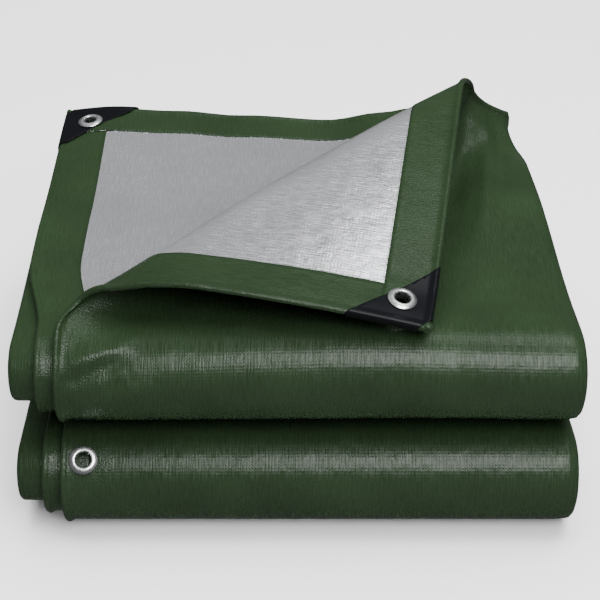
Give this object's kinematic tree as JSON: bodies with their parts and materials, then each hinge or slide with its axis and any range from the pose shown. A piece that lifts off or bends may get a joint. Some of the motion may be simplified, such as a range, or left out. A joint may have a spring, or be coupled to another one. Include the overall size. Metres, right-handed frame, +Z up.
{
  "type": "folded tarp",
  "caption": "Heavy tarpaulin with eyelets, folded into a two-roll bundle with one corner turned over to show its silver underside",
  "frame": {"origin": "middle of the footprint, on the surface that the bundle rests on", "axes": "+X along the rolls to the right, +Y from the front rolls to the back, +Z up"},
  "size_m": [0.429, 0.3794, 0.253],
  "materials": {
    "tarp_sheet": "glossy laminated woven polyethylene, dark green with a matt silver underside",
    "corner_patch": "satin black reinforced plastic",
    "eyelet": "polished"
  },
  "bodies": {
    "root": {"tarp": "tarp_sheet", "patch_flap": "corner_patch", "patch_back": "corner_patch", "eyelet_flap": "eyelet", "eyelet_back": "eyelet", "eyelet_side": "eyelet"}
  },
  "joints": []
}
